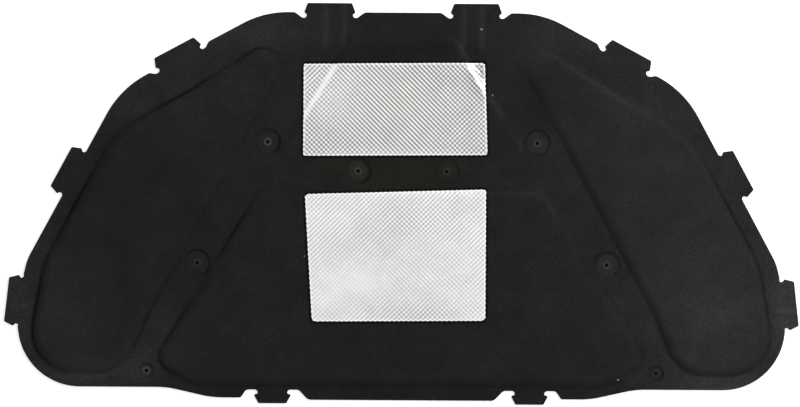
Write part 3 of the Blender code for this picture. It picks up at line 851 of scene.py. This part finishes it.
def build_lint(form, material):
    """Curled fibres: a square tube of 0.12 mm round the path (cos, sin) with slowly shrinking radius, lying on the
    felt."""
    chance = np.random.default_rng(5)
    all_points, all_faces, first = [], [], 0
    for x, y, size in LINT:
        for _ in range(LINT_FIBRES):
            turn = np.linspace(0, chance.uniform(2.5, 5.5), LINT_STEPS) + chance.uniform(0, 6.28)
            reach = size * np.linspace(1.0, chance.uniform(0.3, 0.7), LINT_STEPS)
            path = np.stack((x + reach * np.cos(turn), y + reach * np.sin(turn) * chance.uniform(0.5, 1)), 1)
            lift = form.height(path) + 0.00015 + 0.0003 * np.abs(np.sin(turn * 1.5))
            ahead = np.gradient(path, axis=0)
            beside = left_of(ahead / np.linalg.norm(ahead, axis=1)[:, None])
            ring = np.array(((-1, -1), (1, -1), (1, 1), (-1, 1))) * LINT_HALF_THICKNESS
            tube = np.stack([np.column_stack((path + beside * w, lift + h)) for w, h in ring], 1)
            index = first + np.arange(LINT_STEPS * 4).reshape(-1, 4)
            side = np.stack((index[:-1], np.roll(index[:-1], -1, 1), np.roll(index[1:], -1, 1), index[1:]), -1)
            all_points.append(tube.reshape(-1, 3))
            all_faces += [side.reshape(-1, 4), index[:1, ::-1], index[-1:]]
            first += LINT_STEPS * 4
    return add_piece("lint", np.concatenate(all_points), all_faces, material)


def feed(tree, node, inputs):
    """Gives a node's inputs their values, or links them to the sockets that feed them."""
    for key, value in dict(inputs).items():
        if isinstance(value, bpy.types.NodeSocket):
            tree.links.new(value, node.inputs[key])
        else:
            node.inputs[key].default_value = value


def add_node(tree, kind, inputs=(), **settings):
    """Adds a shader node: settings are its own properties, inputs are values or the sockets that feed it."""
    node = tree.nodes.new("ShaderNode" + kind)
    for key, value in settings.items():
        setattr(node, key, value)
    feed(tree, node, inputs)
    return node


def noise(tree, place, scale, **inputs):
    """A noise texture's value, from 0 to 1."""
    return add_node(tree, "TexNoise", {"Vector": place, "Scale": scale, **inputs}).outputs["Fac"]


def attribute(tree, name):
    """A value that the mesh carries at its points."""
    return add_node(tree, "Attribute", attribute_name=name).outputs["Fac"]


def maths(tree, operation, *values):
    """The result of a sum over two or three values."""
    return add_node(tree, "Math", dict(enumerate(values)), operation=operation).outputs[0]


def spread(tree, value, low, high, to_low, to_high):
    """A value's range from low to high stretched over another range."""
    return add_node(tree, "MapRange", {
        "Value": value, "From Min": low, "From Max": high, "To Min": to_low, "To Max": to_high}).outputs[0]


def mixed(tree, share, first, second):
    """The first colour, turned to the second by a share."""
    return add_node(tree, "Mix", {"Factor": share, "A": first, "B": second}, data_type="RGBA").outputs["Result"]


def dimmed(tree, color, level):
    """A colour times a level."""
    return add_node(tree, "VectorMath", {0: color, "Scale": level}, operation="SCALE").outputs[0]


def new_material(name):
    """An empty material with its Principled shader and Object coordinates."""
    material = bpy.data.materials.new(name)
    material.use_nodes = True
    tree = material.node_tree
    place = add_node(tree, "TexCoord").outputs["Object"]
    return material, tree, tree.nodes["Principled BSDF"], place


def spotted(name, scale, first, second, inputs):
    """A matt material whose colour wanders between two by noise."""
    material, tree, shader, place = new_material(name)
    color = mixed(tree, noise(tree, place, scale), linear(first), linear(second))
    feed(tree, shader, {"Base Color": color, **inputs})
    return material


def moulded_needled_felt(felt):
    """Polyester felt, needle-punched, then pressed hot in a mould: a dead matt black with a faint grey sheen where
    light grazes the fibre ends, short crossed fibres and slow cloudy mottling. Its colour also carries painted shade in
    the creases and painted light on slopes, rib tops and patches, mixed with looser pile. Fibres are 0.03 mm thick;
    they are drawn 0.5 mm wide and 4 mm long, as coarse as they need to show."""
    material, tree, shader, place = new_material("moulded_needled_felt")
    fibres = None
    for turn in (0.35, 1.40, 2.45):
        turned = add_node(tree, "Mapping", {"Vector": place, "Rotation": (0, 0, turn), "Scale": (2000, 250, 250)})
        strand = noise(tree, turned.outputs[0], 1.0, Detail=1.0)
        fibres = strand if fibres is None else maths(tree, "MAXIMUM", fibres, strand)
    clouds = noise(tree, place, 24.0, Detail=5.0, Roughness=0.6)
    grains = noise(tree, place, 420.0, Detail=2.0)
    grain_tone = spread(tree, grains, 0.30, 0.70, 0.85, 1.15)
    # Painted light mixed with looser pile, which also sets how strong the tufts are
    pile_and_light = attribute(tree, "pile_and_light")
    tufts = maths(tree, "SUBTRACT", noise(tree, place, 300.0, Detail=2.0, Roughness=0.7), 0.5)
    tuft_range = maths(tree, "MULTIPLY_ADD", pile_and_light, 0.4, 0.70)
    tone = spread(tree, fibres, 0.45, 0.75, 0.75, 1.30)
    for part in (
            spread(tree, clouds, 0.30, 0.70, 0.86, 1.16),
            grain_tone,
            maths(tree, "MULTIPLY_ADD", tufts, tuft_range, 1.0),
            maths(tree, "ADD", pile_and_light, 1.0),
            # Painted shade in the creases, on the seat walls and round the foils darkens the tone
            spread(tree, attribute(tree, "crease_shade"), 0.0, DARKEST_SHADE, 1.0, 0.15)):
        tone = maths(tree, "MULTIPLY", tone, part)
    fibre = mixed(tree, attribute(tree, "scorched"), linear(felt.pile_color), linear(felt.scorched_color))
    rubbed = maths(tree, "MULTIPLY", attribute(tree, "rubbed"), grain_tone)
    bump = add_node(tree, "Bump", {"Height": fibres, "Strength": 0.5, "Distance": 0.0004})
    bump = add_node(tree, "Bump", {"Height": grains, "Strength": 0.4, "Distance": 0.0005, "Normal": bump.outputs[0]})
    feed(tree, shader, {
        "Base Color": mixed(tree, rubbed, dimmed(tree, fibre, tone), linear(felt.rubbed_color)),
        "Roughness": 0.95, "IOR": 1.5, "Specular IOR Level": 0.05, "Sheen Weight": 0.03, "Sheen Roughness": 0.5,
        "Normal": bump.outputs[0]})
    return material


def embossed_aluminium(foil):
    """Soft aluminium foil, rolled, then embossed between patterned rolls: bright satin metal whose embossed lines carry
    painted shade, grey in the grooves, which are also rougher. The pitch is 7.6 mm along the pad."""
    material, tree, shader, place = new_material("embossed_aluminium")
    groove_shade = attribute(tree, "groove_shade")
    smears = noise(tree, place, 45.0, Detail=4.0, Roughness=0.55)
    metal = mixed(tree, groove_shade, linear(foil.ridge_color), linear(foil.groove_shade_color))
    wrinkles = noise(tree, place, 260.0, Detail=3.0)
    feed(tree, shader, {
        "Base Color": dimmed(tree, metal, spread(tree, smears, 0.30, 0.70, 0.93, 1.04)),
        "Metallic": 1.0,
        "Roughness": spread(tree, groove_shade, 0.0, 1.0, 0.30, 0.48),
        "Normal": add_node(tree, "Bump", {"Height": wrinkles, "Strength": 0.25, "Distance": 0.0003}).outputs[0]})
    return material


def cotton_lint():
    """Loose cotton fibre: off-white and matt, with a grey that varies along it."""
    return spotted("cotton_lint", 900.0, "#f0eee8", "#a5a39c", {"Roughness": 0.9})


def seen_directly(tree):
    """1 for rays that see a background itself: from the camera, a reflection or through glass."""
    path = add_node(tree, "LightPath").outputs
    seen = maths(tree, "MAXIMUM", path["Is Camera Ray"], path["Is Glossy Ray"])
    return maths(tree, "MAXIMUM", seen, path["Is Transmission Ray"])


def studio_floor(studio):
    """Matt pale paint with a self-lit share, so that it reads white and still keeps the soft shadow."""
    material = spotted("matt_studio_floor", 60.0, studio.floor_color, "#c8c8c8", {
        "Roughness": 1.0, "Specular IOR Level": 0.0, "Emission Color": (1, 1, 1, 1)})
    tree = material.node_tree
    glow = maths(tree, "MULTIPLY", seen_directly(tree), 0.62)
    feed(tree, tree.nodes["Principled BSDF"], {"Emission Strength": glow})
    return material


def shaded_floor():
    """The studio floor where the pad keeps the light off it, as seen down its clip holes: nearly black."""
    return spotted("floor_in_shade", 400.0, "#0c0c0c", "#161616", {"Roughness": 1.0, "Specular IOR Level": 0.0})


class HOODPAD_OT_felt_pad(bpy.types.Operator):
    """Build the moulded felt sheet"""
    bl_idname = "hoodpad.felt_pad"
    bl_label = "Felt Pad"

    def execute(self, context):
        felt = context.scene.hoodpad_felt
        build_felt(felt, moulded_needled_felt(felt))
        return {"FINISHED"}


class HOODPAD_OT_heat_foils(bpy.types.Operator):
    """Build the two embossed foils that lie on the felt"""
    bl_idname = "hoodpad.heat_foils"
    bl_label = "Heat Foils"

    def execute(self, context):
        form, foil = FeltForm(context.scene.hoodpad_felt), context.scene.hoodpad_foil
        metal = embossed_aluminium(foil)
        build_foil("front_embossed_foil", "front_heat_foil", FRONT_FOIL, foil.front_spacing, FRONT_FOIL_LINES,
                   form, foil, metal)
        build_foil("rear_embossed_foil", "rear_heat_foil", REAR_FOIL, foil.rear_spacing, REAR_FOIL_LINES,
                   form, foil, metal)
        return {"FINISHED"}


class HOODPAD_OT_lint(bpy.types.Operator):
    """Build the lint caught in the felt's pile"""
    bl_idname = "hoodpad.lint"
    bl_label = "Lint"

    def execute(self, context):
        build_lint(FeltForm(context.scene.hoodpad_felt), cotton_lint())
        return {"FINISHED"}


def add_softbox(name, place, target, size, power):
    """A square area light at a place, turned to its target."""
    light = bpy.data.lights.new(name, "AREA")
    light.shape = "SQUARE"
    light.size = size
    light.energy = power
    obj = bpy.data.objects.new(name, light)
    obj.location = place
    obj.rotation_euler = (Vector(target) - Vector(place)).to_track_quat("-Z", "Y").to_euler()
    bpy.context.scene.collection.objects.link(obj)
    return obj


def add_stage(name, points, faces, material):
    """Puts a flat part of the studio in the scene, which isn't part of the object."""
    mesh = bpy.data.meshes.new(name)
    mesh.from_pydata(points, [], faces)
    mesh.materials.append(material)
    obj = bpy.data.objects.new(name, mesh)
    bpy.context.scene.collection.objects.link(obj)
    return obj


class HOODPAD_OT_studio(bpy.types.Operator):
    """Build the floor, the lights and the camera"""
    bl_idname = "hoodpad.studio"
    bl_label = "Studio"

    def execute(self, context):
        scene, studio = context.scene, context.scene.hoodpad_studio
        corners = [(x * FLOOR_HALF, y * FLOOR_HALF, FLOOR_Z) for x, y in ((-1, -1), (1, -1), (1, 1), (-1, 1))]
        floor = add_stage("floor", corners, [(0, 1, 2, 3)], studio_floor(studio))
        disc = circle(SHADE_SIDES, SHADE_RADIUS)
        discs = np.concatenate([np.array((s[0], s[1] + MIDDLE_SHIFT)) + disc for s in CLIP_SEATS])
        shade_obj = add_stage(
            "shade_under_holes", np.column_stack((discs, np.full(len(discs), SHADE_Z))).tolist(),
            np.arange(len(discs)).reshape(-1, SHADE_SIDES).tolist(), shaded_floor())
        add_softbox("glint_softbox", (1.55, 1.75, 2.0), (0, 0, 0), 1.2, studio.glint_power)
        key = add_softbox("key_softbox", (0.85, 0.45, 1.9), (0, 0, 0), 0.6, studio.key_power)
        top = add_softbox("top_softbox", (0.3, 0.3, 5.8), (0, 0, 0), 1.6, studio.top_power)
        for softbox in (key, top):
            softbox.visible_glossy = False
            softbox.visible_camera = False
        world = bpy.data.worlds.new("studio_room")
        world.use_nodes = True
        scene.world = world
        tree = world.node_tree
        level = spread(tree, seen_directly(tree), 0.0, 1.0, studio.ambient, 1.0)
        feed(tree, tree.nodes["Background"], {"Color": (1, 1, 1, 1), "Strength": level})
        lens = bpy.data.cameras.new("camera")
        lens.sensor_width = SENSOR_WIDTH
        lens.lens = SENSOR_WIDTH * studio.camera_height / studio.view_width
        lens.clip_end = 50.0
        camera = bpy.data.objects.new("camera", lens)
        camera.location = (*CAMERA_OFFSET[:2], studio.camera_height + CAMERA_OFFSET[2])
        camera.rotation_euler = (0, 0, np.radians(CAMERA_TURN))
        scene.collection.objects.link(camera)
        scene.camera = camera
        scene.view_settings.view_transform = "Standard"
        return {"FINISHED"}


class HOODPAD_PT_panel(bpy.types.Panel):
    """Sizes, colours and build buttons"""
    bl_idname = "HOODPAD_PT_panel"
    bl_label = "Hood Insulation Pad"
    bl_space_type = "VIEW_3D"
    bl_region_type = "UI"
    bl_category = "Hood Pad"

    def draw(self, context):
        for group, operators in (
                ("felt", (HOODPAD_OT_felt_pad, HOODPAD_OT_lint)), ("foil", (HOODPAD_OT_heat_foils,)),
                ("studio", (HOODPAD_OT_studio,))):
            box = self.layout.box()
            settings = getattr(context.scene, "hoodpad_" + group)
            for key in settings.__annotations__:
                box.prop(settings, key)
            for operator in operators:
                box.operator(operator.bl_idname)


CLASSES = (
    HoodPadFelt, HoodPadFoil, HoodPadStudio, HOODPAD_OT_studio, HOODPAD_OT_felt_pad, HOODPAD_OT_heat_foils,
    HOODPAD_OT_lint, HOODPAD_PT_panel)
# From the pad's own middle to the frame's: where the front tabs' tips are in both
MIDDLE_SHIFT = CAD_BOX[1][1] - (FRONT_EDGE_Y - TABS[0][1] + WIDE_TAB[3][1])


def register():
    for cls in CLASSES:
        bpy.utils.register_class(cls)
    bpy.types.Scene.hoodpad_felt = PointerProperty(type=HoodPadFelt)
    bpy.types.Scene.hoodpad_foil = PointerProperty(type=HoodPadFoil)
    bpy.types.Scene.hoodpad_studio = PointerProperty(type=HoodPadStudio)


def unregister():
    del bpy.types.Scene.hoodpad_studio
    del bpy.types.Scene.hoodpad_foil
    del bpy.types.Scene.hoodpad_felt
    for cls in reversed(CLASSES):
        bpy.utils.unregister_class(cls)


def main():
    for obj in list(bpy.data.objects):
        if obj.type in {"LIGHT", "CAMERA"} or obj.name == "Cube":
            bpy.data.objects.remove(obj)
    register()
    bpy.ops.hoodpad.studio()
    bpy.ops.hoodpad.felt_pad()
    bpy.ops.hoodpad.heat_foils()
    bpy.ops.hoodpad.lint()


if __name__ == "__main__":
    main()
